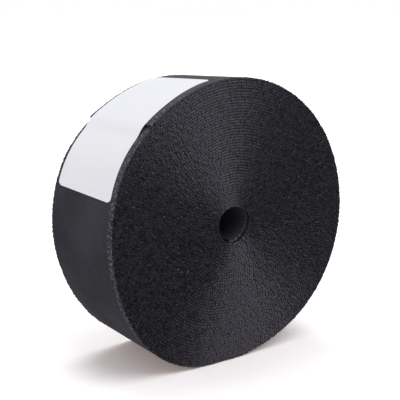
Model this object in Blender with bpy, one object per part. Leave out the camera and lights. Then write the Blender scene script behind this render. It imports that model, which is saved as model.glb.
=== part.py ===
# Roll of black seat belt webbing, standing on its rim, with a white label round its outer turn.
# Metres, +Z up. The roll's axis runs along Y, and the end face that is seen first looks along -Y.
# The origin is at the middle of the flat spot that the roll rests on.
# Angles are measured round the axis in degrees, seen from -Y: 0 is +X, 90 is up.

import math

import bmesh
import bpy
from mathutils import Vector

MM = 0.001

# The webbing, and how it is wound: outwards and anticlockwise, seen from -Y.
WEBBING_WIDTH = 48.0 * MM
WEBBING_THICKNESS = 1.2 * MM
BORE_RADIUS = 7.0 * MM
FULL_TURNS = 45
INNER_END = 256.0
OUTER_END = 133.0
TURNS = FULL_TURNS + ((OUTER_END - INNER_END) % 360.0) / 360.0
OUTER_RADIUS = BORE_RADIUS + (TURNS + 1.0) * WEBBING_THICKNESS

# How the roll stands. The rim is pressed flat where it would reach below the floor.
AXIS_HEIGHT = 60.9 * MM
BORE_SHIFT = -0.7 * MM

# Edges of the outermost and innermost turns.
EDGE_ROUND = 0.5 * MM

# Where the hand-wound roll is out of round: the bump's angle and spread in degrees,
# and its height at the front and back edges in millimetres.
OUT_OF_ROUND = (
    # angle, spread, front, back
    (40.0, 40.0, 0.2, -0.4),
    (98.0, 22.0, -0.3, -1.95),
    (124.0, 14.0, -0.9, -1.15),
    (150.0, 14.0, 0.7, 0.6),
    (178.0, 20.0, -0.6, 0.65),
    (235.0, 20.0, 3.2, 1.0),
    (285.0, 24.0, -2.2, -0.9),
)

# The end faces: share of the way from the bore to the rim, and how far that ring
# lies back from the flat band that the turns' edges make, in millimetres.
FACE_RINGS = (
    # share, recess
    (0.06, 0.3),
    (0.20, 0.0),
    (0.80, 0.0),
    (0.93, 0.2),
)
RIM_RECESS = 0.4 * MM
BORE_RECESS = 0.6 * MM

SECTION_STEP = 3.0
OUTER_STATIONS = 4

# The label, a sheet laid round the outer turn, over its cut end. It lies a little turned,
# and its ends aren't cut quite square. Both angles are in degrees.
LABEL_WIDTH = 41.4 * MM
LABEL_LENGTH = 73.1 * MM
LABEL_THICKNESS = 1.0 * MM
LABEL_START = 98.1
LABEL_Y = 1.3 * MM
LABEL_TURN = 1.0
LABEL_SLANT = 3.0
LABEL_GAP = 0.3 * MM
LABEL_CORNER = 2.2 * MM
LABEL_BRIDGE = 7.0
LABEL_COLUMNS = 26
LABEL_ROWS = 6
CORNER_STEPS = 4

WEBBING_COLOUR = (0.017, 0.017, 0.020, 1.0)
LABEL_COLOUR = (0.80, 0.81, 0.85, 1.0)


def principled(name, colour, roughness, metallic=0.0):
    material = bpy.data.materials.new(name)
    material.use_nodes = True
    shader = material.node_tree.nodes["Principled BSDF"]
    shader.inputs["Base Color"].default_value = colour
    shader.inputs["Roughness"].default_value = roughness
    shader.inputs["Metallic"].default_value = metallic
    return material


def out_of_round(angle, y):
    """How far the outer turn stands off a true spiral, from the front edge to the back."""
    to_back = y / WEBBING_WIDTH + 0.5
    total = 0.0
    for bump_angle, spread, front, back in OUT_OF_ROUND:
        away = (angle - bump_angle + 180.0) % 360.0 - 180.0
        height = front + (back - front) * to_back
        total += height * math.exp(-0.5 * (away / spread) ** 2)
    return total * MM


def outer_radius(angle, y, past_end=False):
    """The outside of the outer turn. At the cut end it drops by one thickness."""
    behind = ((OUTER_END - angle) % 360.0) / 360.0
    if past_end:
        behind = 1.0
    return OUTER_RADIUS - WEBBING_THICKNESS * behind + out_of_round(angle, y)


def bore_radius(angle, past_end=False):
    """The inside of the innermost turn. At its cut end it steps in by one thickness."""
    around = ((angle - INNER_END) % 360.0) / 360.0
    if around == 0.0 and not past_end:
        around = 1.0
    return BORE_RADIUS + WEBBING_THICKNESS * around


def ring_radius(share, angle, y):
    """A ring on an end face, between the bore and a rim with no step in it."""
    rim = OUTER_RADIUS - WEBBING_THICKNESS + out_of_round(angle, y)
    return BORE_RADIUS + share * (rim - BORE_RADIUS)


def place(angle, radius, y, shift=0.0):
    """A point of the roll. Nothing reaches below the floor, which makes the flat spot."""
    turn = math.radians(angle)
    x = radius * math.cos(turn) + shift
    z = AXIS_HEIGHT + radius * math.sin(turn)
    return Vector((x, y, max(z, 0.0)))


def half_face(angle, side, past_outer_end, past_inner_end):
    """One end face at this angle, from the outer edge to the bore. side is -1 in front, 1 behind."""
    face = side * WEBBING_WIDTH / 2
    edge = face - side * EDGE_ROUND
    rim = outer_radius(angle, face, past_outer_end) - EDGE_ROUND
    bore = bore_radius(angle, past_inner_end)
    points = [place(angle, rim, face - side * RIM_RECESS)]
    for share, recess in reversed(FACE_RINGS):
        ring = ring_radius(share, angle, face)
        shift = BORE_SHIFT * (1.0 - share)
        points.append(place(angle, ring, face - side * recess * MM, shift))
    points.append(place(angle, bore + EDGE_ROUND, face - side * BORE_RECESS, BORE_SHIFT))
    points.append(place(angle, bore, edge - side * BORE_RECESS, BORE_SHIFT))
    return points


def outer_surface(angle, past_outer_end):
    """The outside of the outer turn at this angle, from the front edge to the back."""
    reach = WEBBING_WIDTH / 2 - EDGE_ROUND - RIM_RECESS
    points = []
    for i in range(OUTER_STATIONS):
        y = reach * (2.0 * i / (OUTER_STATIONS - 1) - 1.0)
        points.append(place(angle, outer_radius(angle, y, past_outer_end), y))
    return points


def section(angle, past_outer_end=False, past_inner_end=True):
    """The closed loop of points where a half plane through the axis cuts the roll."""
    front = half_face(angle, -1, past_outer_end, past_inner_end)
    back = half_face(angle, 1, past_outer_end, past_inner_end)
    return outer_surface(angle, past_outer_end) + back + front[::-1]


def winding_sections():
    """Sections once round, from just past the outer end back to it. Each cut end has two."""
    sections = [section(OUTER_END, past_outer_end=True)]
    for i in range(1, round(360.0 / SECTION_STEP)):
        angle = (OUTER_END + i * SECTION_STEP) % 360.0
        if angle == INNER_END:
            sections.append(section(angle, past_inner_end=False))
        sections.append(section(angle))
    sections.append(section(OUTER_END))
    return sections


def solid_from_loops(name, loops, closed, material):
    """Skins a row of equal loops of points, with flat ends where the row isn't closed."""
    bm = bmesh.new()
    rows = [[bm.verts.new(point) for point in loop] for loop in loops]
    following = rows[1:] + rows[:1] if closed else rows[1:]
    for row, after in zip(rows, following):
        for i in range(len(row)):
            j = (i + 1) % len(row)
            bm.faces.new((row[i], row[j], after[j], after[i]))
    if not closed:
        bm.faces.new(rows[0])
        bm.faces.new(rows[-1])
    bmesh.ops.remove_doubles(bm, verts=bm.verts, dist=0.001 * MM)
    bmesh.ops.recalc_face_normals(bm, faces=bm.faces)
    mesh = bpy.data.meshes.new(name)
    bm.to_mesh(mesh)
    bm.free()
    mesh.materials.append(material)
    mesh.shade_smooth()
    mesh.set_sharp_from_angle(angle=math.radians(30.0))
    made = bpy.data.objects.new(name, mesh)
    bpy.context.scene.collection.objects.link(made)
    return made


def label_radius(angle, y):
    """The underside of the label. Just past the webbing's cut end it slopes down over the step."""
    radius = outer_radius(angle, y) + LABEL_GAP
    past = angle - OUTER_END
    if 0.0 < past < LABEL_BRIDGE:
        share = past / LABEL_BRIDGE
        radius += WEBBING_THICKNESS * (1.0 - share * share * (3.0 - 2.0 * share))
    return radius


def label_columns():
    """Distances along the label, close together at its round corners, with the inset of each."""
    columns = []
    for i in range(CORNER_STEPS):
        turn = math.pi / 2 * i / CORNER_STEPS
        along = LABEL_CORNER * (1.0 - math.cos(turn))
        columns.append((along, LABEL_CORNER * (1.0 - math.sin(turn))))
    straight = LABEL_LENGTH - 2 * LABEL_CORNER
    middle = [(LABEL_CORNER + straight * i / LABEL_COLUMNS, 0.0) for i in range(LABEL_COLUMNS + 1)]
    far = [(LABEL_LENGTH - along, inset) for along, inset in reversed(columns)]
    return columns + middle + far


def label_spot(along, across):
    """Where a spot on the flat label comes to lie: its angle round the axis and its y."""
    turn = math.radians(LABEL_TURN)
    from_middle = along - across * math.tan(math.radians(LABEL_SLANT)) - LABEL_LENGTH / 2
    around = LABEL_LENGTH / 2 + from_middle * math.cos(turn) + across * math.sin(turn)
    y = LABEL_Y - from_middle * math.sin(turn) + across * math.cos(turn)
    return LABEL_START + math.degrees(around / OUTER_RADIUS), y


def label_section(along, inset):
    """The label's loop of points at this distance: across its underside, and back over the top."""
    half = LABEL_WIDTH / 2 - inset
    spots = [label_spot(along, half * (2.0 * i / LABEL_ROWS - 1.0)) for i in range(LABEL_ROWS + 1)]
    under = [place(angle, label_radius(angle, y), y) for angle, y in spots]
    over = [place(angle, label_radius(angle, y) + LABEL_THICKNESS, y) for angle, y in spots]
    return under + over[::-1]


def make_webbing_roll():
    material = principled("black_polyester_webbing", WEBBING_COLOUR, 0.75)
    return solid_from_loops("webbing_roll", winding_sections(), True, material)


def make_label():
    material = principled("white_label_stock", LABEL_COLOUR, 0.45)
    loops = [label_section(along, inset) for along, inset in label_columns()]
    return solid_from_loops("label", loops, False, material)


for leftover in list(bpy.data.objects):
    bpy.data.objects.remove(leftover)
make_webbing_roll()
make_label()
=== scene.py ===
# Roll of black seat belt webbing, wound by hand and standing on its rim, with a white label.
# Metres, +Z up. The roll's axis runs along Y, and its front end looks along -Y.
# Angles go round the axis in degrees, seen from the front: 0 is +X, 90 is up.

import math

import bpy
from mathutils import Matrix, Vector, noise


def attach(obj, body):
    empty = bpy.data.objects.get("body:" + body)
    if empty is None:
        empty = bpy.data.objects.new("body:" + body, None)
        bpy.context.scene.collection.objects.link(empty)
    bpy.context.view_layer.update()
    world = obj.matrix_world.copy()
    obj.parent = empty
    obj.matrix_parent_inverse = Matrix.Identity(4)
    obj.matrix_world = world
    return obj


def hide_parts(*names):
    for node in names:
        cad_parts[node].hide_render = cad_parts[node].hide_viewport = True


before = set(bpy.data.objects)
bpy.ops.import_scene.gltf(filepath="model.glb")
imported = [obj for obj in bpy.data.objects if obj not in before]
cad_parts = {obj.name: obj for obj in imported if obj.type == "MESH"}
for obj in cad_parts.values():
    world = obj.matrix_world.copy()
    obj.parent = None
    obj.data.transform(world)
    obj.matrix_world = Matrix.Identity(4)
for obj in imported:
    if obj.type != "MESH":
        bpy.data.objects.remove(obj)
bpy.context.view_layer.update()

mm = 0.001
sharpAngle = math.radians(50.0)   # edges that bend more than this stay crisp

# how the webbing is wound, the same sizes as its solid has
winding = {
    "width": 48.0 * mm,
    "pitch": 1.2 * mm,            # one thickness a turn
    "boreRadius": 7.0 * mm,
    "turns": 45 + 237.0 / 360.0,
    "innerEnd": 256.0,            # angle of the cut end in the bore
    "outerEnd": 133.0,            # angle of the cut end under the label
    "axisHeight": 60.9 * mm,
    "boreShift": -0.7 * mm,       # the bore is a little off centre
    "springTurns": 0.42,          # the first stretch stands away from the turn round it
    "springIn": 1.6 * mm,
    "drift": 0.16 * mm,           # how unevenly the turns' edges line up
    "slowDrift": 1.7,             # changes of the slow drift in a turn
    "quickDrift": 9.0,            # and of the quick one
    "quickShare": 0.3,
    "step": 3.6,                  # degrees between sections
}

# where the roll is out of round: angle, spread, then the height at the front and back in mm
outOfRound = (
    (40.0, 40.0, 0.2, -0.4),
    (98.0, 22.0, -0.3, -1.95),
    (124.0, 14.0, -0.9, -1.15),
    (150.0, 14.0, 0.7, 0.6),
    (178.0, 20.0, -0.6, 0.65),
    (235.0, 20.0, 3.2, 1.0),
    (285.0, 24.0, -2.2, -0.9),
)


def bumpHeight(angle, y):
    toBack = y / winding["width"] + 0.5
    total = 0.0
    for bumpAngle, spread, front, back in outOfRound:
        away = (angle - bumpAngle + 180.0) % 360.0 - 180.0
        total += (front + (back - front) * toBack) * math.exp(-0.5 * (away / spread) ** 2)
    return total * mm


def rimRadius(angle, y):
    # outside of the outer turn
    behind = ((winding["outerEnd"] - angle) % 360.0) / 360.0
    outside = winding["boreRadius"] + winding["pitch"] * (winding["turns"] + 1.0 - behind)
    return outside + bumpHeight(angle, y)


def flatShare(angle, y):
    # how much of the radius the floor presses in at this angle
    below = -math.sin(math.radians(angle)) * rimRadius(angle, y)
    return max(0.0, 1.0 - winding["axisHeight"] / below) if below > 0.0 else 0.0


def aroundAxis(angle, radius, y, share):
    turn = math.radians(angle)
    x = radius * math.cos(turn) + winding["boreShift"] * (1.0 - share)
    return Vector((x, y, winding["axisHeight"] + radius * math.sin(turn)))


def webbingPoint(turn, y):
    # the middle of the webbing's thickness, so many turns out from the inner end
    angle = winding["innerEnd"] + 360.0 * turn
    share = (turn + 0.5) / (winding["turns"] + 1.0)
    radius = winding["boreRadius"] + winding["pitch"] * (turn + 0.5) + bumpHeight(angle, y) * share
    if turn < winding["springTurns"]:
        radius -= winding["springIn"] * math.sin(math.pi * turn / winding["springTurns"])
    radius *= 1.0 - flatShare(angle, y) * share * share
    return aroundAxis(angle, radius, y, share)


def driftAt(turn):
    # neighbouring turns never line up quite flush; each noise is read along a line of its own
    slow = noise.noise(Vector((turn * winding["slowDrift"], 3.1, 0.0)))
    quick = noise.noise(Vector((turn * winding["quickDrift"], 7.7, 0.0)))
    return winding["drift"] * ((1.0 - winding["quickShare"]) * slow + winding["quickShare"] * quick)


def linear(hexColour):
    # sRGB hex to the linear colour that shaders take
    channels = []
    for i in (1, 3, 5):
        value = int(hexColour[i:i + 2], 16) / 255.0
        channels.append(value / 12.92 if value <= 0.04045 else ((value + 0.055) / 1.055) ** 2.4)
    return (*channels, 1.0)


def addNode(tree, kind, inputs=None, **settings):
    # one node with its settings; an input is a value or the socket that feeds it
    node = tree.nodes.new(kind)
    for name, value in settings.items():
        setattr(node, name, value)
    for key, value in (inputs or {}).items():
        if isinstance(value, bpy.types.NodeSocket):
            tree.links.new(value, node.inputs[key])
        else:
            node.inputs[key].default_value = value
    return node


def newMaterial(name):
    material = bpy.data.materials.new(name)
    material.use_nodes = True
    return material, material.node_tree, material.node_tree.nodes["Principled BSDF"]


def newTree(name, sockets):
    # a geometry tree with named inputs, and the group input and output nodes
    tree = bpy.data.node_groups.new(name, "GeometryNodeTree")
    tree.interface.new_socket("Geometry", in_out="INPUT", socket_type="NodeSocketGeometry")
    for socketName, socketType in sockets:
        tree.interface.new_socket(socketName, in_out="INPUT", socket_type=socketType)
    tree.interface.new_socket("Geometry", in_out="OUTPUT", socket_type="NodeSocketGeometry")
    start = addNode(tree, "NodeGroupInput")
    return tree, start.outputs


def endTree(tree, geometry, material):
    real = addNode(tree, "GeometryNodeRealizeInstances", {"Geometry": geometry})
    coloured = addNode(tree, "GeometryNodeSetMaterial",
                       {"Geometry": real.outputs[0], "Material": material})
    addNode(tree, "NodeGroupOutput", {0: coloured.outputs[0]})


def runTree(name, guide, tree, values):
    # the tree's result on this guide, as a plain mesh of its own
    modifier = guide.modifiers.new(tree.name, "NODES")
    modifier.node_group = tree
    for item in tree.interface.items_tree:
        if item.in_out == "INPUT" and item.name in values:
            modifier[item.identifier] = values[item.name]
    graph = bpy.context.evaluated_depsgraph_get()
    mesh = bpy.data.meshes.new_from_object(guide.evaluated_get(graph), depsgraph=graph)
    guide.modifiers.remove(modifier)
    bpy.data.objects.remove(guide)
    mesh.name = name
    piece = bpy.data.objects.new(name, mesh)
    bpy.context.scene.collection.objects.link(piece)
    return piece


def newObject(name, points, edges=(), faces=()):
    mesh = bpy.data.meshes.new(name)
    mesh.from_pydata(points, edges, faces)
    made = bpy.data.objects.new(name, mesh)
    bpy.context.scene.collection.objects.link(made)
    return made


# The woven band: one strip, wound from the bore outwards.
band = {
    "thickness": 1.13 * mm,
    "width": 47.5 * mm,           # the edge loops make up the rest
    "edgeRound": 0.42 * mm,
    "edgeSteps": 2,
    "threadDark": "#252429",
    "threadLight": "#3a3940",
    "toneSpan": (0.25, 0.8),      # where the cloth is darkest and lightest, in shares of its pattern
    "pickPitch": 1.15 * mm,       # weft rows
    "endPitch": 0.8 * mm,         # warp yarns, drawn coarser than the real 0.35 mm so that they show
    "twill": 0.9,                 # how far each rib sways from yarn to yarn
    "weaveHeight": 0.09 * mm,
    "weaveRelief": 0.7,
    "ribHighlight": 0.22,              # painted highlight: how much lighter the crowns of the ribs are drawn
    "wearSize": 3.846 * mm,       # patches where the yarn is pressed or rubbed
    "wearHeight": 0.8,            # their height, in shares of a rib's
    "cloudSize": 26.32 * mm,      # slow changes of the dye
    "roughness": (0.46, 0.66),
    "specular": 0.08,
    "threadBoreShade": "#25252b",     # painted shade: the first turns, deep in the bore, drawn darker
    "boreShadeLength": 108.0 * mm,    # the first two turns, which the painted shade covers
    "boreShadeFade": 0.8,             # the painted shade is deepest up to this share of it
    "boreShadeDepth": 0.85,           # how much of that painted shade they take
    # the painted shade dulls their shine too
    "boreShadeSpecular": 0.02,
    "edgeSheen": "#5e5d64",      # painted sheen: the margin beside the front selvage, drawn lighter than the twill
    "edgeZone": 4.0 * mm,
    "edgeFade": 1.2 * mm,
    "speckSize": 1.25 * mm,       # the pitch of the selvage's loops
    "speckSpan": (0.5, 0.62),
}


def windingGuide(name, y):
    # the flat spiral that the webbing follows at this distance along the axis
    count = round(winding["turns"] * 360.0 / winding["step"])
    turns = [winding["turns"] * i / count for i in range(count + 1)]
    points = [webbingPoint(turn, y) for turn in turns]
    guide = newObject(name, points, [(i, i + 1) for i in range(count)])
    along = guide.data.attributes.new("along", "FLOAT", "POINT")
    lean = guide.data.attributes.new("lean", "FLOAT", "POINT")
    drift = guide.data.attributes.new("drift", "FLOAT", "POINT")
    half = winding["width"] / 2
    length = 0.0
    for i, turn in enumerate(turns):
        if i:
            length += (points[i] - points[i - 1]).length
        along.data[i].value = length
        front, back = webbingPoint(turn, -half), webbingPoint(turn, half)
        spoke = Vector((points[i].x, 0.0, points[i].z - winding["axisHeight"])).normalized()
        lean.data[i].value = (back - front).dot(spoke)
        drift.data[i].value = driftAt(turn)
    print(name, "runs", round(length, 3), "m")
    return guide, length


def bandTree():
    tree, given = newTree("windBand", (
        ("Width", "NodeSocketFloat"), ("Thickness", "NodeSocketFloat"),
        ("Edge Round", "NodeSocketFloat"), ("Webbing Width", "NodeSocketFloat"),
        ("Axis Height", "NodeSocketFloat"), ("Material", "NodeSocketMaterial")))
    spiral = addNode(tree, "GeometryNodeMeshToCurve", {"Mesh": given["Geometry"]})
    outline = addNode(tree, "GeometryNodeCurvePrimitiveQuadrilateral",
                      {"Width": given["Width"], "Height": given["Thickness"]})
    rounded = addNode(tree, "GeometryNodeFilletCurve",
                      {"Curve": outline.outputs[0], "Radius": given["Edge Round"],
                       "Count": band["edgeSteps"]}, mode="POLY")
    wound = addNode(tree, "GeometryNodeCurveToMesh",
                    {"Curve": spiral.outputs[0], "Profile Curve": rounded.outputs[0], "Fill Caps": True})
    # "lean" is how much further out the back edge lies, and "drift" how far the turn is out of line
    place = addNode(tree, "GeometryNodeInputPosition").outputs[0]
    parts = addNode(tree, "ShaderNodeSeparateXYZ", {0: place}).outputs
    fromAxis = addNode(tree, "ShaderNodeMath", {0: parts["Z"], 1: given["Axis Height"]}, operation="SUBTRACT")
    spoke = addNode(tree, "ShaderNodeCombineXYZ", {"X": parts["X"], "Z": fromAxis.outputs[0]})
    outwards = addNode(tree, "ShaderNodeVectorMath", {0: spoke.outputs[0]}, operation="NORMALIZE")
    lean = addNode(tree, "GeometryNodeInputNamedAttribute", {"Name": "lean"}, data_type="FLOAT")
    toBack = addNode(tree, "ShaderNodeMath", {0: parts["Y"], 1: given["Webbing Width"]}, operation="DIVIDE")
    shift = addNode(tree, "ShaderNodeMath", {0: lean.outputs[0], 1: toBack.outputs[0]}, operation="MULTIPLY")
    leaning = addNode(tree, "ShaderNodeVectorMath", {0: outwards.outputs[0], "Scale": shift.outputs[0]},
                      operation="SCALE")
    drift = addNode(tree, "GeometryNodeInputNamedAttribute", {"Name": "drift"}, data_type="FLOAT")
    sideways = addNode(tree, "ShaderNodeCombineXYZ", {"Y": drift.outputs[0]})
    offset = addNode(tree, "ShaderNodeVectorMath", {0: leaning.outputs[0], 1: sideways.outputs[0]})
    settled = addNode(tree, "GeometryNodeSetPosition",
                      {"Geometry": wound.outputs[0], "Offset": offset.outputs[0]})
    along = addNode(tree, "GeometryNodeInputNamedAttribute", {"Name": "along"}, data_type="FLOAT")
    mapPoint = addNode(tree, "ShaderNodeCombineXYZ", {"X": along.outputs[0], "Y": parts["Y"]})
    mapped = addNode(tree, "GeometryNodeStoreNamedAttribute",
                     {"Geometry": settled.outputs[0], "Name": "weaveMap", "Value": mapPoint.outputs[0]},
                     data_type="FLOAT2", domain="CORNER")
    smooth = addNode(tree, "GeometryNodeSetShadeSmooth", {"Geometry": mapped.outputs[0]})
    endTree(tree, smooth.outputs[0], given["Material"])
    return tree


def wovenPolyester():
    # high tenacity polyester twill, heat set and dyed black: a satin cloth of fine crosswise ribs
    material, tree, shader = newMaterial("woven polyester")
    uv = addNode(tree, "ShaderNodeUVMap", uv_map="weaveMap").outputs[0]
    parts = addNode(tree, "ShaderNodeSeparateXYZ", {0: uv}).outputs
    ends = addNode(tree, "ShaderNodeMath", {0: parts["Y"], 1: math.tau / band["endPitch"]},
                   operation="MULTIPLY")
    endWave = addNode(tree, "ShaderNodeMath", {0: ends.outputs[0]}, operation="SINE")
    picks = addNode(tree, "ShaderNodeMath", {0: parts["X"], 1: math.tau / band["pickPitch"]},
                    operation="MULTIPLY")
    swaying = addNode(tree, "ShaderNodeMath",
                      {0: endWave.outputs[0], 1: band["twill"], 2: picks.outputs[0]},
                      operation="MULTIPLY_ADD")
    pickWave = addNode(tree, "ShaderNodeMath", {0: swaying.outputs[0]}, operation="SINE")
    worn = addNode(tree, "ShaderNodeTexNoise",
                   {"Vector": uv, "Scale": 1.0 / band["wearSize"], "Detail": 3.0})
    cloudy = addNode(tree, "ShaderNodeTexNoise",
                     {"Vector": uv, "Scale": 1.0 / band["cloudSize"], "Detail": 2.0})
    height = addNode(tree, "ShaderNodeMath",
                     {0: worn.outputs[0], 1: band["wearHeight"], 2: pickWave.outputs[0]},
                     operation="MULTIPLY_ADD")
    bump = addNode(tree, "ShaderNodeBump",
                   {"Height": height.outputs[0], "Distance": band["weaveHeight"],
                    "Strength": band["weaveRelief"]})
    # painted highlight on the crowns of the ribs, over slow changes of the dye
    tone = addNode(tree, "ShaderNodeMath",
                   {0: pickWave.outputs[0], 1: band["ribHighlight"], 2: cloudy.outputs[0]},
                   operation="MULTIPLY_ADD")
    ramp = addNode(tree, "ShaderNodeValToRGB", {0: tone.outputs[0]})
    tones = (band["threadDark"], band["threadLight"])
    for stop, at, colour in zip(ramp.color_ramp.elements, band["toneSpan"], tones):
        stop.position = at
        stop.color = linear(colour)
    smoothest, roughest = band["roughness"]
    gloss = addNode(tree, "ShaderNodeMapRange",
                    {"Value": worn.outputs[0], "To Min": smoothest, "To Max": roughest})
    # painted sheen: the margin beside the front selvage is drawn lighter, broken into specks at the loops'
    # pitch
    inner = band["edgeZone"] - band["width"] / 2
    margin = addNode(tree, "ShaderNodeMapRange",
                     {"Value": parts["Y"], "From Min": inner, "From Max": inner - band["edgeFade"]})
    specks = addNode(tree, "ShaderNodeTexNoise",
                     {"Vector": uv, "Scale": 1.0 / band["speckSize"], "Detail": 2.0})
    lowest, highest = band["speckSpan"]
    speckled = addNode(tree, "ShaderNodeMapRange",
                       {"Value": specks.outputs[0], "From Min": lowest, "From Max": highest})
    marginSheen = addNode(tree, "ShaderNodeMath", {0: margin.outputs[0], 1: speckled.outputs[0]},
                     operation="MULTIPLY")
    # inputs 6 and 7 of a colour mix are its two colours, and output 2 is the mixed one
    woven = addNode(tree, "ShaderNodeMix",
                    {0: marginSheen.outputs[0], 6: ramp.outputs[0], 7: linear(band["edgeSheen"])},
                    data_type="RGBA")
    # painted shade: the first turns, deep in the bore, are drawn darker and their shine duller
    boreShade = addNode(tree, "ShaderNodeMapRange",
                    {"Value": parts["X"], "From Min": band["boreShadeLength"],
                     "From Max": band["boreShadeFade"] * band["boreShadeLength"], "To Max": band["boreShadeDepth"]})
    dyed = addNode(tree, "ShaderNodeMix",
                   {0: boreShade.outputs[0], 6: woven.outputs[2], 7: linear(band["threadBoreShade"])},
                   data_type="RGBA")
    shine = addNode(tree, "ShaderNodeMapRange",
                    {"Value": boreShade.outputs[0], "To Min": band["specular"],
                     "To Max": band["boreShadeSpecular"]})
    tree.links.new(dyed.outputs[2], shader.inputs["Base Color"])
    tree.links.new(gloss.outputs[0], shader.inputs["Roughness"])
    tree.links.new(bump.outputs[0], shader.inputs["Normal"])
    tree.links.new(shine.outputs[0], shader.inputs["Specular IOR Level"])
    return material


def makeBand():
    guide, length = windingGuide("bandGuide", 0.0)
    piece = runTree("woundWebbing", guide, bandTree(), {
        "Width": band["width"], "Thickness": band["thickness"], "Edge Round": band["edgeRound"],
        "Webbing Width": winding["width"], "Axis Height": winding["axisHeight"],
        "Material": wovenPolyester()})
    piece.data.set_sharp_from_angle(angle=sharpAngle)
    print("band made,", len(piece.data.polygons), "faces")
    return piece, length


# The selvages: at each weft row the thread comes round the band's edge in a slanted loop.
loops = {
    "pitch": 1.25 * mm,
    "length": 1.95 * mm,
    "width": 1.14 * mm,
    "height": 0.19 * mm,
    "shoulder": 0.62,             # share of the half length where the sides begin to close in
    "crest": 0.52,                # and where the top edge ends
    "narrowing": 0.8,             # the upper ring's size beside the lower one's
    "levels": (-0.3, 0.62, 1.0),  # the two rings and the crest, in shares of the height
    "slant": 18.0,                # degrees from the way the webbing runs
    "tilt": (4.0, 1.5, 7.0),      # most that a loop leans about its length, across it and upright
    "sizeSpread": 0.12,
    "scatter": 0.07 * mm,         # how far a loop lies out of its place, any way
    "slide": 0.32 * mm,           # and how far along the turn
    "strand": 0.57 * mm,          # the few strands that lie side by side in a loop
    "strandTwist": 0.35,          # how far they lean across it, in shares of its length
    "strandHeight": 0.6,          # in shares of the fibres' height
    "fibreSize": 0.7143 * mm,     # drawn coarser than real fibres, so that it shows
    "relief": 0.08 * mm,
    "reliefStrength": 0.7,
    "threadDark": "#0c0c0e",
    "threadLight": "#232127",
    "toneSpan": (0.1, 1.0),
    "fibreTone": 0.5,             # how much the fibres change the shade
    "roughness": (0.48, 0.6),
    "specular": 0.08,
    "combed": 0.97,               # filaments lie side by side, so the shine spreads round the thread
    "combedTurn": 0.25,           # a quarter turn from the way the thread runs
}


def loopShape():
    # a short rounded ridge, its flat side down, in shares of its half length, half width and height
    end, crest, narrow = loops["shoulder"], loops["crest"], loops["narrowing"]
    low, high, top = loops["levels"]
    ring = ((1.0, 0.0), (end, 1.0), (-end, 1.0), (-1.0, 0.0), (-end, -1.0), (end, -1.0))
    points = [(x, y, low) for x, y in ring]
    points += [(x * narrow, y * narrow, high) for x, y in ring]
    points += [(crest, 0.0, top), (-crest, 0.0, top)]
    size = (loops["length"] / 2, loops["width"] / 2, loops["height"])
    points = [(x * size[0], y * size[1], z * size[2]) for x, y, z in points]
    # its underside and two long slopes, the walls between the rings, and the slopes at its ends
    faces = [(5, 4, 3, 2, 1, 0), (7, 8, 13, 12), (10, 11, 12, 13)]
    faces += [(i, (i + 1) % 6, 6 + (i + 1) % 6, 6 + i) for i in range(6)]
    faces += [(6, 7, 12), (8, 9, 13), (9, 10, 13), (11, 6, 12)]
    shape = newObject("loopShape", points, faces=faces)
    spot = shape.data.attributes.new("loopSpot", "FLOAT_VECTOR", "POINT")
    for i, point in enumerate(points):
        spot.data[i].vector = point
    return shape


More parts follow.
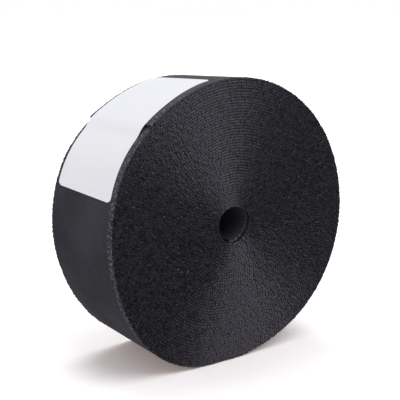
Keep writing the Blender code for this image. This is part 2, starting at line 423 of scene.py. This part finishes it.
def selvageTree():
    tree, given = newTree("loopSelvage", (
        ("Loop", "NodeSocketObject"), ("Pitch", "NodeSocketFloat"), ("Facing", "NodeSocketVector"),
        ("Slant", "NodeSocketFloat"), ("Tilt", "NodeSocketVector"), ("Size Spread", "NodeSocketFloat"),
        ("Scatter", "NodeSocketFloat"), ("Slide", "NodeSocketFloat"), ("Seed", "NodeSocketInt"),
        ("Material", "NodeSocketMaterial")))
    # each random draw has a seed of its own; a random float has its bounds in inputs 2 and 3,
    # and its result in output 1
    seeds = {}
    for use, step in (("size", 11.0), ("shade", 23.0), ("place", 37.0)):
        summed = addNode(tree, "ShaderNodeMath", {0: given["Seed"], 1: step}, operation="ADD")
        seeds[use] = summed.outputs[0]
    edge = addNode(tree, "GeometryNodeMeshToCurve", {"Mesh": given["Geometry"]})
    rows = addNode(tree, "GeometryNodeCurveToPoints", {"Curve": edge.outputs[0], "Length": given["Pitch"]},
                   mode="LENGTH").outputs
    drift = addNode(tree, "GeometryNodeInputNamedAttribute", {"Name": "drift"}, data_type="FLOAT")
    sideways = addNode(tree, "ShaderNodeCombineXYZ", {"Y": drift.outputs[0]})
    below = addNode(tree, "ShaderNodeMath", {0: given["Scatter"], 1: -1.0}, operation="MULTIPLY")
    stray = addNode(tree, "FunctionNodeRandomValue",
                    {0: below.outputs[0], 1: given["Scatter"], "Seed": seeds["place"]},
                    data_type="FLOAT_VECTOR")
    back = addNode(tree, "ShaderNodeMath", {0: given["Slide"], 1: -1.0}, operation="MULTIPLY")
    slide = addNode(tree, "FunctionNodeRandomValue",
                    {2: back.outputs[0], 3: given["Slide"], "Seed": seeds["place"]}, data_type="FLOAT")
    along = addNode(tree, "ShaderNodeVectorMath", {0: rows["Tangent"], "Scale": slide.outputs[1]},
                    operation="SCALE")
    settled = addNode(tree, "ShaderNodeVectorMath", {0: sideways.outputs[0], 1: stray.outputs[0]})
    moved = addNode(tree, "ShaderNodeVectorMath", {0: settled.outputs[0], 1: along.outputs[0]})
    lined = addNode(tree, "GeometryNodeSetPosition", {"Geometry": rows["Points"], "Offset": moved.outputs[0]})
    upright = addNode(tree, "FunctionNodeAxesToRotation",
                      {"Primary Axis": given["Facing"], "Secondary Axis": rows["Tangent"]},
                      primary_axis="Z", secondary_axis="X")
    slant = addNode(tree, "ShaderNodeMath", {0: given["Slant"]}, operation="RADIANS")
    slanted = addNode(tree, "FunctionNodeAxisAngleToRotation", {"Angle": slant.outputs[0]})
    most = addNode(tree, "ShaderNodeVectorMath", {0: given["Tilt"], "Scale": math.radians(1.0)},
                   operation="SCALE")
    least = addNode(tree, "ShaderNodeVectorMath", {0: most.outputs[0], "Scale": -1.0}, operation="SCALE")
    tilt = addNode(tree, "FunctionNodeRandomValue",
                   {0: least.outputs[0], 1: most.outputs[0], "Seed": given["Seed"]}, data_type="FLOAT_VECTOR")
    tilted = addNode(tree, "FunctionNodeEulerToRotation", {0: tilt.outputs[0]})
    turned = addNode(tree, "FunctionNodeRotateRotation",
                     {"Rotation": upright.outputs[0], "Rotate By": slanted.outputs[0]},
                     rotation_space="LOCAL")
    rotation = addNode(tree, "FunctionNodeRotateRotation",
                       {"Rotation": turned.outputs[0], "Rotate By": tilted.outputs[0]},
                       rotation_space="LOCAL")
    smallest = addNode(tree, "ShaderNodeMath", {0: 1.0, 1: given["Size Spread"]}, operation="SUBTRACT")
    largest = addNode(tree, "ShaderNodeMath", {0: 1.0, 1: given["Size Spread"]}, operation="ADD")
    size = addNode(tree, "FunctionNodeRandomValue",
                   {2: smallest.outputs[0], 3: largest.outputs[0], "Seed": seeds["size"]},
                   data_type="FLOAT")
    loop = addNode(tree, "GeometryNodeObjectInfo", {"Object": given["Loop"]}).outputs["Geometry"]
    placed = addNode(tree, "GeometryNodeInstanceOnPoints",
                     {"Points": lined.outputs[0], "Instance": loop, "Rotation": rotation.outputs[0],
                      "Scale": size.outputs[1]})
    shade = addNode(tree, "FunctionNodeRandomValue", {2: 0.0, 3: 1.0, "Seed": seeds["shade"]},
                    data_type="FLOAT")
    shaded = addNode(tree, "GeometryNodeStoreNamedAttribute",
                     {"Geometry": placed.outputs[0], "Name": "shade", "Value": shade.outputs[1]},
                     data_type="FLOAT", domain="INSTANCE")
    # the way each loop runs, which its sheen spreads round
    way = addNode(tree, "FunctionNodeRotateVector",
                  {"Vector": (1.0, 0.0, 0.0), "Rotation": rotation.outputs[0]})
    combed = addNode(tree, "GeometryNodeStoreNamedAttribute",
                     {"Geometry": shaded.outputs[0], "Name": "threadWay", "Value": way.outputs[0]},
                     data_type="FLOAT_VECTOR", domain="INSTANCE")
    # the floor presses the lowest loops flat: z stays above 0, while x and y never reach -1 m
    real = addNode(tree, "GeometryNodeRealizeInstances", {"Geometry": combed.outputs[0]})
    place = addNode(tree, "GeometryNodeInputPosition").outputs[0]
    pressed = addNode(tree, "ShaderNodeVectorMath", {0: place, 1: (-1.0, -1.0, 0.0)}, operation="MAXIMUM")
    standing = addNode(tree, "GeometryNodeSetPosition",
                       {"Geometry": real.outputs[0], "Position": pressed.outputs[0]})
    smooth = addNode(tree, "GeometryNodeSetShadeSmooth", {"Geometry": standing.outputs[0]})
    endTree(tree, smooth.outputs[0], given["Material"])
    return tree


def selvageThread():
    # soft textured polyester thread, black: each loop has its own slight shade and shine
    material, tree, shader = newMaterial("selvage thread")
    shade = addNode(tree, "ShaderNodeAttribute", attribute_name="shade").outputs["Fac"]
    spot = addNode(tree, "ShaderNodeTexCoord").outputs["Object"]
    fine = addNode(tree, "ShaderNodeTexNoise",
                   {"Vector": spot, "Scale": 1.0 / loops["fibreSize"], "Detail": 2.0})
    tone = addNode(tree, "ShaderNodeMath", {0: fine.outputs[0], 1: loops["fibreTone"], 2: shade},
                   operation="MULTIPLY_ADD")
    ramp = addNode(tree, "ShaderNodeValToRGB", {0: tone.outputs[0]})
    tones = (loops["threadDark"], loops["threadLight"])
    for stop, at, colour in zip(ramp.color_ramp.elements, loops["toneSpan"], tones):
        stop.position = at
        stop.color = linear(colour)
    smoothest, roughest = loops["roughness"]
    gloss = addNode(tree, "ShaderNodeMapRange",
                    {"Value": shade, "To Min": smoothest, "To Max": roughest})
    # strands side by side along each loop, a little twisted, each loop's shifted by its shade
    onLoop = addNode(tree, "ShaderNodeAttribute", attribute_name="loopSpot").outputs["Vector"]
    parts = addNode(tree, "ShaderNodeSeparateXYZ", {0: onLoop}).outputs
    twist = addNode(tree, "ShaderNodeMath", {0: parts["X"], 1: loops["strandTwist"], 2: parts["Y"]},
                    operation="MULTIPLY_ADD")
    turns = addNode(tree, "ShaderNodeMath",
                    {0: twist.outputs[0], 1: math.tau / loops["strand"], 2: shade},
                    operation="MULTIPLY_ADD")
    strands = addNode(tree, "ShaderNodeMath", {0: turns.outputs[0]}, operation="SINE")
    height = addNode(tree, "ShaderNodeMath",
                     {0: strands.outputs[0], 1: loops["strandHeight"], 2: fine.outputs[0]},
                     operation="MULTIPLY_ADD")
    bump = addNode(tree, "ShaderNodeBump",
                   {"Height": height.outputs[0], "Distance": loops["relief"],
                    "Strength": loops["reliefStrength"]})
    way = addNode(tree, "ShaderNodeAttribute", attribute_name="threadWay").outputs["Vector"]
    tree.links.new(ramp.outputs[0], shader.inputs["Base Color"])
    tree.links.new(gloss.outputs[0], shader.inputs["Roughness"])
    tree.links.new(bump.outputs[0], shader.inputs["Normal"])
    tree.links.new(way, shader.inputs["Tangent"])
    shader.inputs["Anisotropic"].default_value = loops["combed"]
    shader.inputs["Anisotropic Rotation"].default_value = loops["combedTurn"]
    shader.inputs["Specular IOR Level"].default_value = loops["specular"]
    return material


def makeSelvages():
    loop = loopShape()
    tree = selvageTree()
    thread = selvageThread()
    pieces = []
    for name, side, seed in (("frontSelvage", -1.0, 4), ("backSelvage", 1.0, 9)):
        guide, _ = windingGuide(name + "Guide", side * band["width"] / 2)
        pieces.append(runTree(name, guide, tree, {
            "Loop": loop, "Pitch": loops["pitch"], "Facing": (0.0, side, 0.0),
            "Slant": -side * loops["slant"], "Tilt": loops["tilt"],
            "Size Spread": loops["sizeSpread"], "Scatter": loops["scatter"],
            "Slide": loops["slide"], "Seed": seed, "Material": thread}))
        print(name, "made,", len(pieces[-1].data.polygons), "faces")
    bpy.data.objects.remove(loop)
    return pieces


# The label: laid round the outer turn, over the webbing's cut end.
label = {
    "width": 41.4 * mm,
    "length": 73.1 * mm,
    "thickness": 0.08 * mm,
    "start": 98.1,                # angle where it begins
    "y": 1.3 * mm,
    "turn": 1.0,                  # degrees that it lies turned
    "slant": 3.0,                 # degrees that its ends are cut out of square
    "gap": 0.02 * mm,
    "corner": 2.2 * mm,
    "bridge": 7.0,                # degrees it takes to come down over the cut end
    "columns": 90,
    "rows": 24,
    "stockWhite": "#d9d9dd",
    "stockWarm": "#dbdbdc",
    "toneSpan": (0.35, 0.7),
    "cloudSize": 33.33 * mm,
    "fibreSize": 1.111 * mm,      # paper fibre, drawn coarser than real
    "roughness": (0.32, 0.42),
    "relief": 0.01 * mm,
    "reliefStrength": 0.4,
}


def labelPoint(along, across, lift):
    outside = winding["boreRadius"] + winding["pitch"] * (winding["turns"] + 1.0)
    turn = math.radians(label["turn"])
    fromMiddle = along - across * math.tan(math.radians(label["slant"])) - label["length"] / 2
    around = label["length"] / 2 + fromMiddle * math.cos(turn) + across * math.sin(turn)
    y = label["y"] - fromMiddle * math.sin(turn) + across * math.cos(turn)
    angle = label["start"] + math.degrees(around / outside)
    radius = rimRadius(angle, y) + label["gap"] + lift
    # just past the webbing's cut end it slopes down over the step
    past = (angle - winding["outerEnd"]) / label["bridge"]
    if 0.0 < past < 1.0:
        radius += winding["pitch"] * (1.0 - past * past * (3.0 - 2.0 * past))
    return aroundAxis(angle, radius, y, 1.0)


def labelStock():
    # coated paper label stock: white, smooth and satin, with faint warmer clouds in its coating
    material, tree, shader = newMaterial("coated label stock")
    uv = addNode(tree, "ShaderNodeUVMap", uv_map="labelMap").outputs[0]
    cloudy = addNode(tree, "ShaderNodeTexNoise",
                     {"Vector": uv, "Scale": 1.0 / label["cloudSize"], "Detail": 2.0})
    fibre = addNode(tree, "ShaderNodeTexNoise",
                    {"Vector": uv, "Scale": 1.0 / label["fibreSize"], "Detail": 3.0})
    ramp = addNode(tree, "ShaderNodeValToRGB", {0: cloudy.outputs[0]})
    tones = (label["stockWhite"], label["stockWarm"])
    for stop, at, colour in zip(ramp.color_ramp.elements, label["toneSpan"], tones):
        stop.position = at
        stop.color = linear(colour)
    smoothest, roughest = label["roughness"]
    gloss = addNode(tree, "ShaderNodeMapRange",
                    {"Value": fibre.outputs[0], "To Min": smoothest, "To Max": roughest})
    bump = addNode(tree, "ShaderNodeBump",
                   {"Height": fibre.outputs[0], "Distance": label["relief"],
                    "Strength": label["reliefStrength"]})
    tree.links.new(ramp.outputs[0], shader.inputs["Base Color"])
    tree.links.new(gloss.outputs[0], shader.inputs["Roughness"])
    tree.links.new(bump.outputs[0], shader.inputs["Normal"])
    return material


def makeLabel():
    half, corner = label["width"] / 2, label["corner"]
    columns, rows = label["columns"], label["rows"]
    points, mapped = [], []
    for lift in (0.0, label["thickness"]):
        for i in range(columns + 1):
            along = label["length"] * i / columns
            # ends of the rows are drawn in where the corners are round
            fromEnd = min(along, label["length"] - along)
            inset = corner - math.sqrt(max(0.0, corner ** 2 - max(0.0, corner - fromEnd) ** 2))
            for j in range(rows + 1):
                across = (half - inset) * (2.0 * j / rows - 1.0)
                points.append(labelPoint(along, across, lift))
                mapped.append((along, across))
    row, layer = rows + 1, (columns + 1) * (rows + 1)
    faces = []
    for i in range(columns):
        for j in range(rows):
            a = i * row + j
            faces.append((a, a + row, a + row + 1, a + 1))
            faces.append((layer + a, layer + a + 1, layer + a + row + 1, layer + a + row))
    rim = list(range(rows)) + [i * row + rows for i in range(columns)]
    rim += [columns * row + rows - j for j in range(rows)] + [(columns - i) * row for i in range(columns)]
    for a, b in zip(rim, rim[1:] + rim[:1]):
        faces.append((a, b, layer + b, layer + a))
    piece = newObject("paperLabel", points, faces=faces)
    uvLayer = piece.data.uv_layers.new(name="labelMap")
    for corners in piece.data.loops:
        uvLayer.data[corners.index].uv = mapped[corners.vertex_index]
    piece.data.materials.append(labelStock())
    piece.data.shade_smooth()
    piece.data.set_sharp_from_angle(angle=sharpAngle)
    print("label made")
    return piece


# The studio: a pale floor under a white sky, with wide soft lights from behind and in front.
studio = {
    "floorSize": 30.0,
    "floorColour": "#fbfbfb",
    "floorRoughness": 0.9,
    "glowColour": "#ffe2d2",      # the floor glows a little, as paper on a light table does
    "glow": 0.16,
    # the sky's colour by height, from -1 straight down to 1 overhead; threads mirror the part
    # under the floor, and the line at 0 is seen behind the floor's far edge
    "sky": ((-0.04, "#a0a0a6"), (-0.02, "#ffffff"), (0.05, "#ffffff"),
            (0.16, "#d7d8dd"), (1.0, "#cccdd3")),
    # the way each light comes from, how wide it is in degrees, its strength and colour, and
    # whether matte surfaces see it: the sheen light is only for the threads' shine
    "lights": (
        ("behind", (0.12, 0.38, 1.0), 34.0, 1.2, "#ffffff", True),
        ("front", (0.12, -0.42, 0.90), 46.0, 1.15, "#ffffff", True),
        ("sheen", (0.07, -0.61, 0.79), 60.0, 25.0, "#f6f1ff", False),
    ),
}

camera = {
    "place": (-0.24774, -0.33243, 0.15260),
    "target": (-0.00108, 0.0, 0.06765),
    "lens": 85.2,
    "sensor": 36.0,
    "nearest": 0.01,              # nothing closer is drawn
}


def aim(thing, place, target):
    thing.location = place
    way = Vector(target) - Vector(place)
    thing.rotation_euler = way.to_track_quat("-Z", "Y").to_euler()


def makeStudio():
    size = studio["floorSize"] / 2
    corners = [(-size, -size, 0.0), (size, -size, 0.0), (size, size, 0.0), (-size, size, 0.0)]
    floor = newObject("floor", corners, faces=[(0, 1, 2, 3)])
    material, tree, shader = newMaterial("matte paper floor")
    shader.inputs["Base Color"].default_value = linear(studio["floorColour"])
    shader.inputs["Roughness"].default_value = studio["floorRoughness"]
    shader.inputs["Specular IOR Level"].default_value = 0.0
    shader.inputs["Emission Color"].default_value = linear(studio["glowColour"])
    shader.inputs["Emission Strength"].default_value = studio["glow"]
    floor.data.materials.append(material)
    floor.visible_glossy = False  # or the dark threads would mirror all of the white floor
    world = bpy.data.worlds.new("studioSky")
    world.use_nodes = True
    sky = world.node_tree
    way = addNode(sky, "ShaderNodeTexCoord").outputs["Generated"]
    height = addNode(sky, "ShaderNodeSeparateXYZ", {0: way}).outputs["Z"]
    share = addNode(sky, "ShaderNodeMapRange", {"Value": height, "From Min": -1.0})
    ramp = addNode(sky, "ShaderNodeValToRGB", {0: share.outputs[0]})
    stops = ramp.color_ramp.elements
    while len(stops) < len(studio["sky"]):
        stops.new(0.5)
    for stop, (at, colour) in zip(stops, studio["sky"]):
        stop.position = (at + 1.0) / 2.0
        stop.color = linear(colour)
    sky.links.new(ramp.outputs[0], sky.nodes["Background"].inputs["Color"])
    bpy.context.scene.world = world
    for name, comesFrom, width, strength, colour, onMatte in studio["lights"]:
        lamp = bpy.data.lights.new(name, "SUN")
        lamp.angle = math.radians(width)
        lamp.energy = strength
        lamp.color = linear(colour)[:3]
        light = bpy.data.objects.new(name, lamp)
        bpy.context.scene.collection.objects.link(light)
        light.visible_diffuse = onMatte
        aim(light, comesFrom, (0.0, 0.0, 0.0))
    bpy.context.scene.view_settings.view_transform = "Standard"
    print("studio made")


def makeCamera():
    data = bpy.data.cameras.new("photoCamera")
    data.lens = camera["lens"]
    data.sensor_width = camera["sensor"]
    data.clip_start = camera["nearest"]
    view = bpy.data.objects.new("photoCamera", data)
    bpy.context.scene.collection.objects.link(view)
    aim(view, camera["place"], camera["target"])
    bpy.context.scene.camera = view
    print("camera set")


makeCamera()
makeStudio()
webbing, webbingLength = makeBand()
selvages = makeSelvages()
paper = makeLabel()

for piece in (webbing, *selvages):
    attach(piece, "root")
    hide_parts("webbing_roll")
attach(paper, "root")
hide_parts("label")
